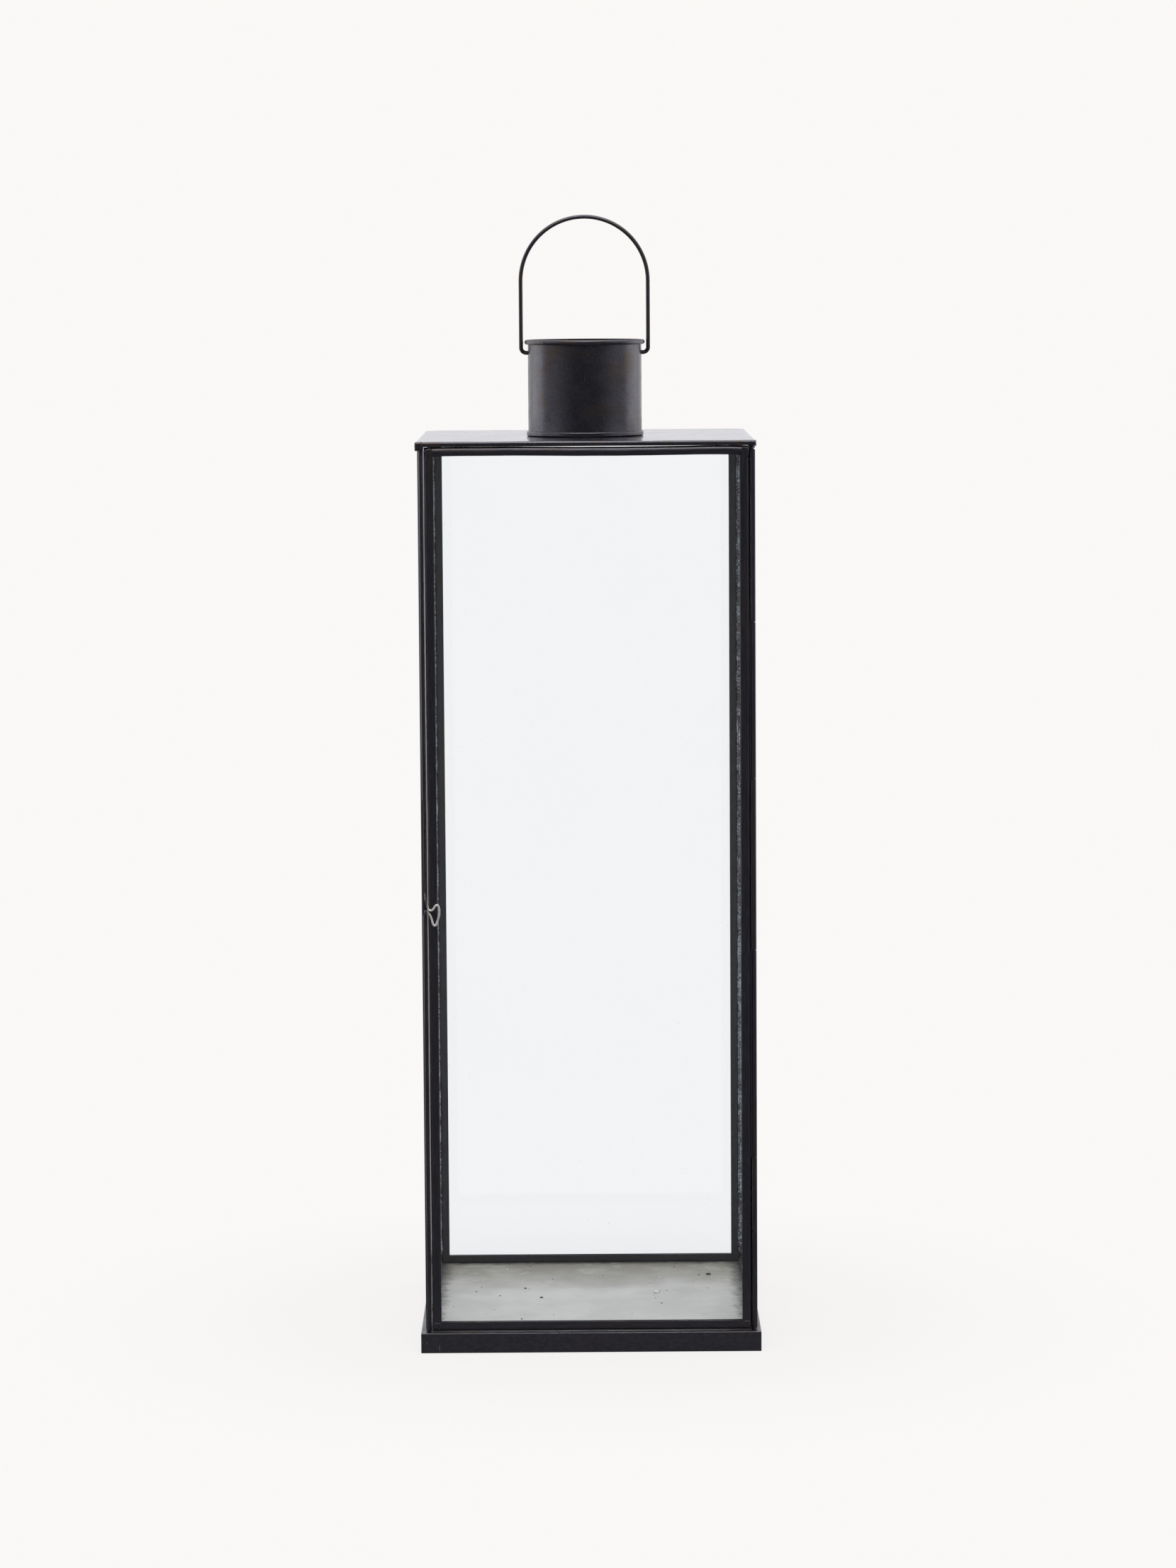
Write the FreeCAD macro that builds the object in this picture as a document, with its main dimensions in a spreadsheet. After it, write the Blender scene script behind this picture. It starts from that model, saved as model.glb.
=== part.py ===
import FreeCAD, Part
import math
import os
import re
import Sketcher
from FreeCAD import Placement, Rotation, Vector

# A tall glass candle lantern in millimetres, +Z up, with the origin in the middle of the base's
# underside. Four glazed panels of folded channel stand on a plinth under a folded roof. The front
# panel, at -Y, is the door: it turns on a full-length knuckle hinge at +X and is held by a bent
# wire latch at -X. A chimney on the roof carries a wire bail.

# Driving dimensions: alias, value, what it is.
SIZES = (
    ("base_width", 200.0, "plinth, side to side and front to back"),
    ("base_height", 11.8, "plinth, underside to top"),
    ("base_sheet", 0.8, "plinth sheet thickness"),
    ("base_hem", 6.0, "width of the hem folded in under the plinth"),
    ("base_bend", 0.7, "outside radius of the plinth's folds"),
    ("sheet_metal", 0.6, "sheet thickness of channels, roof, floor and chimney"),
    ("channel_leg", 5.2, "width of a channel's face"),
    ("channel_slot", 2.4, "gap between a channel's legs"),
    ("channel_bend", 1.5, "outside radius of a channel's folds"),
    ("glass_sheet", 2.0, "pane thickness"),
    ("glass_gap", 0.3, "pane edge to the bottom of its slot"),
    ("ledge", 2.7, "plinth beyond the side and rear panels"),
    ("front_ledge", 4.1, "plinth beyond the door's face"),
    ("roof_top", 534.0, "top of the roof above the ground"),
    ("roof_gap", 0.2, "panels to the inside of the roof's lips"),
    ("roof_ahead", 0.3, "roof's front beyond the door's face"),
    ("roof_bend", 1.5, "outside radius of the roof's folds"),
    ("roof_lip", 5.0, "depth of the side and back lips"),
    ("roof_front_lip", 2.0, "depth of the front lip, over the door"),
    ("floor_gap", 0.2, "floor sheet to the panels round it"),
    ("door_gap", 0.3, "door's back to the side panels' front edges"),
    ("latch_margin", 4.1, "door's latch edge inside the left panel's outside"),
    ("hinge_margin", 3.1, "door's hinge edge inside the right panel's outside"),
    ("door_lift", 0.6, "door above the plinth"),
    ("door_drop", 1.2, "door's top below the roof's front lip"),
    ("hinge_set", 2.3, "hinge axis beyond the door's edge"),
    ("hinge_barrel", 2.7, "outside diameter of the knuckles"),
    ("hinge_wire", 1.4, "diameter of the hinge pin"),
    ("hinge_play", 0.1, "clearance round the hinge pin"),
    ("hinge_foot", 1.0, "lowest knuckle above the plinth"),
    ("hinge_break", 0.4, "gap between one knuckle and the next"),
    ("knuckle_one", 102.0, "lowest knuckle, with the gap over it"),
    ("knuckle_two", 122.6, "second knuckle, with the gap over it"),
    ("knuckle_three", 100.6, "third knuckle, with the gap over it"),
    ("knuckle_four", 91.2, "fourth knuckle, with the gap over it"),
    ("hinge_leaf", 6.0, "leaf from the hinge axis back along the side"),
    ("latch_set", 2.0, "latch axis beyond the door's edge"),
    ("latch_barrel", 2.3, "outside diameter of the latch sleeve"),
    ("latch_wire", 1.2, "diameter of the latch wire"),
    ("latch_play", 0.1, "clearance round the latch wire"),
    ("latch_low", 247.1, "plinth to the bottom of the gap in the latch sleeve"),
    ("latch_open", 67.5, "length of the gap in the latch sleeve"),
    ("latch_grip", 14.0, "wire held inside the sleeve at each end"),
    ("chimney_radius", 33.8, "outside of the chimney tube"),
    ("chimney_height", 57.0, "roof to rim"),
    ("rim_stand", 2.0, "rolled rim beyond the tube"),
    ("rim_height", 2.8, "depth of the rolled rim"),
    ("bead_stand", 1.0, "foot bead beyond the tube"),
    ("bead_height", 3.0, "height of the foot bead"),
    ("flue_step", 1.2, "roof's hole inside the outside of the tube"),
    ("bail_wire", 2.4, "diameter of the bail"),
    ("bail_stand", 4.0, "bail's legs, wire centre beyond the tube"),
    ("bail_drop", 7.7, "bail's pivot below the rim's top"),
    ("bail_arch", 42.4, "centre of the arch above the pivot"),
    ("bail_bend", 3.0, "centreline radius where a leg turns in"),
    ("bail_end", 5.0, "wire past the inside of the chimney"),
    ("bail_play", 0.1, "clearance round the wire in its hole"),
)
ALIASES = {alias for alias, _, _ in SIZES}
WORD = re.compile(r"[a-z_]+")

# Lengths and places that follow from the driving dimensions.
CHANNEL_THICK = "(channel_slot + 2 * sheet_metal)"
PANEL_HEIGHT = "(roof_top - sheet_metal - base_height)"
BODY_SIDE = "(base_width / 2 - ledge)"
BODY_INSIDE = f"({BODY_SIDE} - {CHANNEL_THICK})"
DOOR_FACE = "(base_width / 2 - front_ledge)"
DOOR_PLANE = f"({DOOR_FACE} - {CHANNEL_THICK} / 2)"
BODY_FRONT = f"({DOOR_FACE} - {CHANNEL_THICK} - door_gap)"
SIDE_DEPTH = f"({BODY_FRONT} + {BODY_SIDE})"
SIDE_MIDDLE = f"(({BODY_SIDE} - {BODY_FRONT}) / 2)"
REAR_WIDTH = f"(2 * {BODY_INSIDE})"
DOOR_LEFT = f"({BODY_SIDE} - latch_margin)"
DOOR_RIGHT = f"({BODY_SIDE} - hinge_margin)"
DOOR_WIDTH = f"({DOOR_LEFT} + {DOOR_RIGHT})"
DOOR_MIDDLE = f"(({DOOR_RIGHT} - {DOOR_LEFT}) / 2)"
DOOR_FOOT = "(base_height + door_lift)"
DOOR_TOP = "(roof_top - roof_front_lip - door_drop)"
DOOR_HEIGHT = f"({DOOR_TOP} - {DOOR_FOOT})"
HINGE_X = f"({DOOR_RIGHT} + hinge_set)"
HINGE_FOOT = "(base_height + hinge_foot)"
HINGE_TOP = "(roof_top - roof_lip - hinge_break)"
KNUCKLES = ("knuckle_one", "knuckle_two", "knuckle_three", "knuckle_four")
LATCH_X = f"({DOOR_LEFT} + latch_set)"
LATCH_FOOT = "(base_height + latch_low)"
LATCH_HEAD = "(base_height + latch_low + latch_open)"
RIM_RADIUS = "(chimney_radius + rim_stand)"
BEAD_RADIUS = "(chimney_radius + bead_stand)"
BAIL_RADIUS = "(chimney_radius + bail_stand)"
BAIL_PIVOT = "(roof_top + chimney_height - bail_drop)"

# How a panel drawn flat stands up: 0 puts its width along X, 1 along Y.
STANDING = (Rotation(Vector(1, 0, 0), 90), Rotation(Vector(1, 1, 1), 120))


# Corners of the latch's loop: right of the latch axis, ahead of the door's face, above the gap's foot.
LATCH_LOOP = (
    (0.2, 1.2, 9.8),
    (2.8, 2.6, 1.0),
    (7.4, 2.4, 8.0),
    (8.6, 2.2, 2.6),
    (7.6, 2.0, -2.4),
    (5.4, 1.8, -7.2),
    (3.0, 1.1, 0.8),
    (0.2, 0.7, 3.4),
)


def make_sheet(doc):
    """The spreadsheet with every driving dimension."""
    sheet = doc.addObject("Spreadsheet::Sheet", "Sizes")
    for row, (alias, value, note) in enumerate(SIZES, start=1):
        sheet.set(f"A{row}", note)
        sheet.set(f"B{row}", str(value))
        sheet.setAlias(f"B{row}", alias)
    doc.recompute()
    return sheet


def bind(thing, prop, formula):
    """Ties a property to the sheet. The formula is written with the sheet's aliases."""
    text = WORD.sub(lambda m: "Sizes." + m.group() if m.group() in ALIASES else m.group(), formula)
    thing.setExpression(prop, text)


def place(thing, x="0", y="0", z="0", turn=Rotation()):
    """Turns a sub-part and ties its position to the sheet."""
    thing.Placement = Placement(Vector(), turn)
    for axis, formula in zip("xyz", (x, y, z)):
        bind(thing, f"Placement.Base.{axis}", formula)


def new_body(doc, label):
    body = doc.addObject("PartDesign::Body", label)
    body.Label = label
    return body


def origin_part(body, role):
    """One of the body's own origin planes or axes."""
    return next(o for o in body.Origin.OriginFeatures if o.Role == role)


def new_sketch(body, plane, lift="0"):
    """An empty sketch on one of the body's origin planes, moved along its normal."""
    sketch = body.newObject("Sketcher::SketchObject", "Sketch")
    sketch.AttachmentSupport = (origin_part(body, plane), "")
    sketch.MapMode = "FlatFace"
    bind(sketch, "AttachmentOffset.Base.z", lift)
    return sketch


def pin_point(sketch, geometry, point, x, y):
    """Ties one point of a sketch to the sheet, by its distances from the sketch's origin."""
    start = sketch.getPoint(geometry, point)
    for kind, now, formula in (("DistanceX", start.x, x), ("DistanceY", start.y, y)):
        number = sketch.addConstraint(Sketcher.Constraint(kind, -1, 1, geometry, point, now))
        bind(sketch, f"Constraints[{number}]", formula)


def pin_radius(sketch, geometry, radius):
    now = sketch.Geometry[geometry].Radius
    number = sketch.addConstraint(Sketcher.Constraint("Radius", geometry, now))
    bind(sketch, f"Constraints[{number}]", radius)


def polygon(body, plane, corners, lift="0"):
    """A closed sketch of straight sides, each corner tied to the sheet."""
    sketch = new_sketch(body, plane, lift)
    count = len(corners)
    rough = [Rotation(Vector(0, 0, 1), 360 * k / count).multVec(Vector(9, 0, 0)) for k in range(count)]
    for k in range(count):
        sketch.addGeometry(Part.LineSegment(rough[k], rough[(k + 1) % count]))
    for k in range(count):
        sketch.addConstraint(Sketcher.Constraint("Coincident", k, 2, (k + 1) % count, 1))
    for k, (x, y) in enumerate(corners):
        pin_point(sketch, k, 1, x, y)
    return sketch


def rectangle(body, plane, left, right, low, high, lift="0"):
    corners = ((left, low), (right, low), (right, high), (left, high))
    return polygon(body, plane, corners, lift)


def circle(body, plane, x, y, radius, lift="0"):
    sketch = new_sketch(body, plane, lift)
    sketch.addGeometry(Part.Circle(Vector(1, 1, 0), Vector(0, 0, 1), 2))
    pin_point(sketch, 0, 3, x, y)
    pin_radius(sketch, 0, radius)
    return sketch


def pad(body, sketch, length, both_ways=False):
    feature = body.newObject("PartDesign::Pad", "Pad")
    feature.Profile = sketch
    feature.Midplane = both_ways
    bind(feature, "Length", length)
    body.Document.recompute()
    return feature


def pocket(body, sketch, length, both_ways=False):
    """Cuts along the sketch's normal, and fails if it removes nothing."""
    before = body.Shape.Volume
    feature = body.newObject("PartDesign::Pocket", "Pocket")
    feature.Profile = sketch
    feature.Midplane = both_ways
    feature.Reversed = not both_ways
    bind(feature, "Length", length)
    body.Document.recompute()
    if body.Shape.Volume > before - 0.01:
        raise RuntimeError(f"{body.Label}: {feature.Name} cuts nothing")
    return feature


def revolve(body, sketch):
    feature = body.newObject("PartDesign::Revolution", "Revolution")
    feature.Profile = sketch
    feature.ReferenceAxis = (origin_part(body, "Z_Axis"), [""])
    feature.Angle = 360
    body.Document.recompute()
    return feature


def fillet(body, radius, wanted):
    """Rounds every edge of the body so far that the test accepts."""
    tip = body.Tip
    names = [f"Edge{k}" for k, edge in enumerate(tip.Shape.Edges, start=1) if wanted(edge)]
    if not names:
        raise RuntimeError(f"{body.Label}: no edge to round")
    feature = body.newObject("PartDesign::Fillet", "Fillet")
    feature.Base = (tip, names)
    bind(feature, "Radius", radius)
    body.Document.recompute()
    return feature


def spans(edge, axis):
    """How far an edge runs along an axis, 0, 1 or 2."""
    ends = [vertex.Point[axis] for vertex in edge.Vertexes]
    return max(ends) - min(ends)


def level(edge, axis, value):
    """Whether the whole edge lies at one coordinate."""
    return all(abs(vertex.Point[axis] - value) < 1e-4 for vertex in edge.Vertexes)


def channel(doc, label, length, place_at, turn):
    """A straight length of folded channel, mitred at both ends.

    It is drawn along X with its web on Y = 0 and its slot open towards +Y.
    """
    body = new_body(doc, label)
    half = f"{length} / 2"
    corners = (
        (f"-({half})", "0"),
        (half, "0"),
        (f"{half} - channel_leg", "channel_leg"),
        (f"-({half} - channel_leg)", "channel_leg"),
    )
    pad(body, polygon(body, "XY_Plane", corners), CHANNEL_THICK, both_ways=True)
    slot = rectangle(body, "XY_Plane", f"-({half})", half, "sheet_metal", "channel_leg")
    pocket(body, slot, "channel_slot", both_ways=True)
    fillet(body, "channel_bend", lambda e: level(e, 1, 0) and spans(e, 0) > 1)
    place(body, *place_at, turn)


def panel(doc, name, stiles, along, width, height, middle, foot):
    """Four mitred channels and the pane in their slots.

    stiles names the two upright channels, along is the axis of the panel's width, middle the
    (x, y) of its centre plane and foot the height of its lower edge.
    """
    def spot(side, up):
        """A point of the panel, from the middle of its lower edge."""
        plan = list(middle)
        plan[along] = f"{plan[along]} + {side}"
        return (*plan, f"{foot} + {up}")

    edges = (
        ("bottom_rail", width, spot("0", "0"), 0),
        ("top_rail", width, spot("0", height), 180),
        (stiles[0], height, spot(f"-({width} / 2)", f"{height} / 2"), -90),
        (stiles[1], height, spot(f"({width} / 2)", f"{height} / 2"), 90),
    )
    for edge, length, where, angle in edges:
        turn = STANDING[along].multiply(Rotation(Vector(0, 0, 1), angle))
        channel(doc, f"{name}_{edge}", length, where, turn)

    inset = "(sheet_metal + glass_gap)"
    sides = [f"({width} - 2 * {inset})", "glass_sheet"]
    if along == 1:
        sides.reverse()
    glass = doc.addObject("Part::Box", f"{name}_glass")
    glass.Label = f"{name}_glass"
    bind(glass, "Length", sides[0])
    bind(glass, "Width", sides[1])
    bind(glass, "Height", f"{height} - 2 * {inset}")
    place(glass, f"{middle[0]} - {sides[0]} / 2", f"{middle[1]} - {sides[1]} / 2", f"{foot} + {inset}")


def base_plinth(doc):
    """The plinth: an upturned folded tray with a hem turned in along its lower edge."""
    body = new_body(doc, "base_plinth")
    half = "base_width / 2"
    pad(body, rectangle(body, "XY_Plane", f"-({half})", half, f"-({half})", half), "base_height")
    height = body.Document.Sizes.get("base_height")
    fillet(body, "base_bend", lambda e: level(e, 2, height) or spans(e, 2) > 1)
    inner = f"({half} - base_sheet)"
    cavity = rectangle(body, "XY_Plane", f"-{inner}", inner, f"-{inner}", inner, "base_sheet")
    pocket(body, cavity, "base_height - 2 * base_sheet")
    mouth = f"({half} - base_hem)"
    opening = rectangle(body, "XY_Plane", f"-{mouth}", mouth, f"-{mouth}", mouth)
    pocket(body, opening, "base_sheet")


def floor_plate(doc):
    """The loose sheet inside the panels that the candle stands on."""
    plate = doc.addObject("Part::Box", "floor_plate")
    plate.Label = "floor_plate"
    bind(plate, "Length", f"2 * ({BODY_INSIDE} - floor_gap)")
    bind(plate, "Width", f"{BODY_FRONT} + {BODY_INSIDE} - floor_gap")
    bind(plate, "Height", "sheet_metal")
    place(plate, f"-({BODY_INSIDE} - floor_gap)", f"-{BODY_FRONT}", "base_height")


def roof_cap(doc):
    """The roof: a sheet folded down on all four sides, with the flue's hole in its middle."""
    body = new_body(doc, "roof_cap")
    half = f"({BODY_SIDE} + roof_gap + sheet_metal)"
    front = f"({DOOR_FACE} + roof_ahead)"
    lift = "roof_top - roof_lip"
    outside = rectangle(body, "XY_Plane", f"-{half}", half, f"-{front}", half, lift)
    pad(body, outside, "roof_lip")
    top = body.Document.Sizes.get("roof_top")
    fillet(body, "roof_bend", lambda e: level(e, 2, top))
    inner = f"({half} - sheet_metal)"
    inside = rectangle(body, "XY_Plane", f"-{inner}", inner, f"-({front} - sheet_metal)", inner, lift)
    pocket(body, inside, "roof_lip - sheet_metal")
    notch = rectangle(body, "YZ_Plane", f"-{front} - 1", f"-{BODY_FRONT}", f"{lift} - 1",
                      "roof_top - roof_front_lip")
    pocket(body, notch, "2 * base_width", both_ways=True)
    pocket(body, circle(body, "XY_Plane", "0", "0", "chimney_radius - flue_step", lift), "2 * roof_lip")


def chimney(doc):
    """The chimney: a rolled tube with a wired rim, a foot bead and two holes for the bail."""
    body = new_body(doc, "chimney")
    bore = "chimney_radius - sheet_metal"
    top = "chimney_height"
    rings = (
        ("chimney_radius", "0", top),
        (RIM_RADIUS, f"{top} - rim_height", top),
        (BEAD_RADIUS, "0", "bead_height"),
    )
    for radius, low, high in rings:
        revolve(body, rectangle(body, "XZ_Plane", bore, radius, low, high))
    sizes = body.Document.Sizes

    def outer(stand):
        radius = sizes.get("chimney_radius") + sizes.get(stand)
        return lambda e: isinstance(e.Curve, Part.Circle) and abs(e.Curve.Radius - radius) < 1e-4

    fillet(body, "rim_height * 0.42", outer("rim_stand"))
    fillet(body, "bead_height * 0.3", outer("bead_stand"))
    hole = circle(body, "YZ_Plane", "0", f"{top} - bail_drop", "bail_wire / 2 + bail_play")
    pocket(body, hole, "3 * chimney_radius", both_ways=True)
    place(body, z="roof_top")


def bail_handle(doc):
    """The bail: one wire, arched over the chimney, its ends turned in through the tube's wall."""
    body = new_body(doc, "bail_handle")
    sizes = body.Document.Sizes
    radius = sizes.get("chimney_radius") + sizes.get("bail_stand")
    bend, arch = sizes.get("bail_bend"), sizes.get("bail_arch")
    end = sizes.get("chimney_radius") - sizes.get("sheet_metal") - sizes.get("bail_end")
    spine = new_sketch(body, "XZ_Plane")
    ahead = Vector(0, 0, 1)
    turn_in = radius - bend
    pieces = (
        Part.LineSegment(Vector(-end, 0, 0), Vector(-turn_in, 0, 0)),
        Part.ArcOfCircle(Part.Circle(Vector(-turn_in, bend, 0), ahead, bend), 3.1415926, 4.7123889),
        Part.LineSegment(Vector(-radius, bend, 0), Vector(-radius, arch, 0)),
        Part.ArcOfCircle(Part.Circle(Vector(0, arch, 0), ahead, radius), 0, 3.1415926),
        Part.LineSegment(Vector(radius, arch, 0), Vector(radius, bend, 0)),
        Part.ArcOfCircle(Part.Circle(Vector(turn_in, bend, 0), ahead, bend), 4.7123889, 6.2831853),
        Part.LineSegment(Vector(turn_in, 0, 0), Vector(end, 0, 0)),
    )
    for piece in pieces:
        spine.addGeometry(piece)
    for joint in ((0, 2, 1, 2), (1, 1, 2, 1), (2, 2, 3, 2), (3, 1, 4, 1), (4, 2, 5, 2), (5, 1, 6, 1)):
        spine.addConstraint(Sketcher.Constraint("Tangent", *joint))
    for kind, line in (("Horizontal", 0), ("Vertical", 2), ("Vertical", 4), ("Horizontal", 6)):
        spine.addConstraint(Sketcher.Constraint(kind, line))
    for arc, size in ((1, "bail_bend"), (3, BAIL_RADIUS), (5, "bail_bend")):
        pin_radius(spine, arc, size)
    reach = "(chimney_radius - sheet_metal - bail_end)"
    pin_point(spine, 3, 3, "0", "bail_arch")
    pin_point(spine, 0, 1, f"-{reach}", "0")
    pin_point(spine, 6, 2, reach, "0")
    profile = circle(body, "YZ_Plane", "0", "0", "bail_wire / 2", f"-{reach}")
    doc.recompute()
    pipe = body.newObject("PartDesign::AdditivePipe", "Pipe")
    pipe.Profile = profile
    pipe.Spine = (spine, [f"Edge{k}" for k in range(1, len(pieces) + 1)])
    doc.recompute()
    place(body, z=BAIL_PIVOT)


def cylinder(doc, radius, height, x, y, z):
    rod = doc.addObject("Part::Cylinder", "Rod")
    bind(rod, "Radius", radius)
    bind(rod, "Height", height)
    place(rod, x, y, z)
    return rod


def barrel(doc, axis, outside, bore, foot, height, leaf):
    """A short tube on an upright axis with a flat leaf that solders to its channel.

    leaf is the leaf's (low x, high x, low y, high y).
    """
    tube = cylinder(doc, f"{outside} / 2", height, *axis, foot)
    strip = doc.addObject("Part::Box", "Leaf")
    low_x, high_x, low_y, high_y = leaf
    bind(strip, "Length", f"{high_x} - ({low_x})")
    bind(strip, "Width", f"{high_y} - ({low_y})")
    bind(strip, "Height", height)
    place(strip, low_x, low_y, foot)
    solid = doc.addObject("Part::Fuse", "Solid")
    solid.Base = tube
    solid.Tool = strip
    hollow = doc.addObject("Part::Cut", "Barrel")
    hollow.Base = solid
    hollow.Tool = cylinder(doc, f"{bore} / 2", f"{height} + 2", *axis, f"{foot} - 1")
    return hollow


def group(doc, label, members):
    """Several like solids that share one node."""
    compound = doc.addObject("Part::Compound", label)
    compound.Label = label
    compound.Links = members
    return compound


def hinge(doc):
    """The door's hinge: knuckles taking turns between frame and door, on one long pin."""
    axis = (HINGE_X, f"-{DOOR_PLANE}")
    bore = "(hinge_wire + 2 * hinge_play)"
    feet = [" + ".join((HINGE_FOOT, *KNUCKLES[:k])) for k in range(len(KNUCKLES) + 1)]
    heights = [f"({knuckle} - hinge_break)" for knuckle in KNUCKLES] + [f"({HINGE_TOP} - ({feet[-1]}))"]
    frame_leaf = (BODY_SIDE, f"{HINGE_X} + hinge_barrel / 2",
                  f"-{DOOR_PLANE}", f"hinge_leaf - {DOOR_PLANE}")
    door_leaf = (DOOR_RIGHT, HINGE_X, f"-{DOOR_PLANE} - sheet_metal / 2",
                 f"sheet_metal / 2 - {DOOR_PLANE}")
    for label, leaf, first in (("frame_knuckles", frame_leaf, 0), ("door_knuckles", door_leaf, 1)):
        turns = zip(feet[first::2], heights[first::2])
        barrels = [barrel(doc, axis, "hinge_barrel", bore, f"({foot})", height, leaf) for foot, height in turns]
        group(doc, label, barrels)
    pin = cylinder(doc, "hinge_wire / 2", f"{HINGE_TOP} - {HINGE_FOOT}", *axis, HINGE_FOOT)
    pin.Label = "hinge_pin"


def latch_sleeve(doc):
    """The tube that the latch wire turns in, cut away where the wire's loop comes out."""
    axis = (f"-{LATCH_X}", f"-{DOOR_PLANE}")
    bore = "(latch_wire + 2 * latch_play)"
    leaf = (f"-{LATCH_X} - sheet_metal / 2", f"sheet_metal / 2 - {LATCH_X}", f"-{DOOR_PLANE}", f"-{BODY_FRONT}")
    lengths = ((HINGE_FOOT, f"({LATCH_FOOT} - {HINGE_FOOT})"), (LATCH_HEAD, f"({HINGE_TOP} - {LATCH_HEAD})"))
    tubes = [barrel(doc, axis, "latch_barrel", bore, foot, height, leaf) for foot, height in lengths]
    group(doc, "latch_sleeve", tubes)


def rounded_path(points):
    """A wire through a line of corners, each rounded as far as its shorter run allows."""
    edges = []
    start = points[0]
    for before, corner, after in zip(points, points[1:], points[2:]):
        back = (before - corner).normalize()
        ahead = (after - corner).normalize()
        half_angle = back.getAngle(ahead) / 2
        middle = (back + ahead).normalize()
        reach = 0.45 * min((before - corner).Length, (after - corner).Length)
        radius = reach * math.tan(half_angle)
        nearest = corner + middle * (radius / math.sin(half_angle) - radius)
        edges.append(Part.makeLine(start, corner + back * reach))
        edges.append(Part.Arc(corner + back * reach, nearest, corner + ahead * reach).toShape())
        start = corner + ahead * reach
    edges.append(Part.makeLine(start, points[-1]))
    return Part.Wire(edges)


def latch_hook(doc):
    """The latch: a wire that turns in the sleeve, bent out into a loop across the door's edge."""
    sizes = doc.Sizes
    half, grip = sizes.get("base_width") / 2, sizes.get("latch_grip")
    low = sizes.get("base_height") + sizes.get("latch_low")
    high = low + sizes.get("latch_open")
    axis_x = sizes.get("ledge") + sizes.get("latch_margin") - sizes.get("latch_set") - half
    face = sizes.get("front_ledge") - half
    axis_y = face + sizes.get("channel_slot") / 2 + sizes.get("sheet_metal")
    points = [Vector(axis_x, axis_y, high + grip), Vector(axis_x, axis_y, low + 12.4)]
    points += [Vector(axis_x + right, face - ahead, low + up) for right, ahead, up in LATCH_LOOP]
    points += [Vector(axis_x, axis_y, low + 1.4), Vector(axis_x, axis_y, low - grip)]
    path = rounded_path(points)
    section = Part.Wire(Part.makeCircle(sizes.get("latch_wire") / 2, points[0], Vector(0, 0, 1)))
    wire = doc.addObject("Part::Feature", "latch_hook")
    wire.Label = "latch_hook"
    wire.Shape = path.makePipeShell([section], True, False)


def build():
    doc = FreeCAD.newDocument("lantern")
    make_sheet(doc)
    base_plinth(doc)
    floor_plate(doc)
    side_plane = f"({BODY_SIDE} - {CHANNEL_THICK} / 2)"
    side_stiles = ("front_stile", "rear_stile")
    for name, x in (("left", f"-{side_plane}"), ("right", side_plane)):
        panel(doc, name, side_stiles, 1, SIDE_DEPTH, PANEL_HEIGHT, (x, SIDE_MIDDLE), "base_height")
    panel(doc, "rear", ("left_stile", "right_stile"), 0, REAR_WIDTH, PANEL_HEIGHT, ("0", side_plane),
          "base_height")
    panel(doc, "door", ("latch_stile", "hinge_stile"), 0, DOOR_WIDTH, DOOR_HEIGHT,
          (DOOR_MIDDLE, f"-{DOOR_PLANE}"), DOOR_FOOT)
    roof_cap(doc)
    chimney(doc)
    bail_handle(doc)
    hinge(doc)
    latch_sleeve(doc)
    latch_hook(doc)
    doc.recompute()
    return doc


def is_subpart(thing):
    """Whether an object is a finished sub-part, and not the input of another."""
    makers = ("PartDesign::Body", "Part::Box", "Part::Cylinder", "Part::Compound", "Part::Feature")
    return thing.TypeId in makers and not thing.InList and "_" in thing.Label or thing.Label == "chimney"


def export(doc):
    for thing in doc.Objects:
        if {"Invalid", "Error"} & set(thing.State):
            raise RuntimeError(f"{thing.Label} did not compute: {thing.State}")
    os.makedirs("parts", exist_ok=True)
    for thing in filter(is_subpart, doc.Objects):
        if thing.Shape.isNull() or not thing.Shape.isValid():
            raise RuntimeError(f"{thing.Label} has no valid shape")
        thing.Shape.exportStep(f"parts/{thing.Label}.step")


export(build())
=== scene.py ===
import math
import random

import bmesh
import bpy
from mathutils import Matrix, Vector, noise


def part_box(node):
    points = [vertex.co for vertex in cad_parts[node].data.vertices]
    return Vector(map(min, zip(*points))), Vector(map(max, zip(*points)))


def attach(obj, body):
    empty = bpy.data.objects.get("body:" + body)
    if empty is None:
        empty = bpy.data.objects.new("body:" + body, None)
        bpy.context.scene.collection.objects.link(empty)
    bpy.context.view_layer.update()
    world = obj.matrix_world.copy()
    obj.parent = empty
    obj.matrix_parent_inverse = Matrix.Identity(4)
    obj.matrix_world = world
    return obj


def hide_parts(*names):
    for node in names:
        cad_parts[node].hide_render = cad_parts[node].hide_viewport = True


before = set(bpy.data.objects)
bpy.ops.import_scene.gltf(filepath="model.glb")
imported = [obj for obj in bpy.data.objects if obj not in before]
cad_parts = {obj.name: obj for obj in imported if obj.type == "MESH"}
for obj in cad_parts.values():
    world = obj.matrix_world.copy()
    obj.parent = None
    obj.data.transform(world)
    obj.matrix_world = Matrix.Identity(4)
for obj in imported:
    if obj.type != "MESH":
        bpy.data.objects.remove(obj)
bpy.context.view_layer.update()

MM = 0.001


# ---- Shader building -------------------------------------------------------------------------

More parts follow.
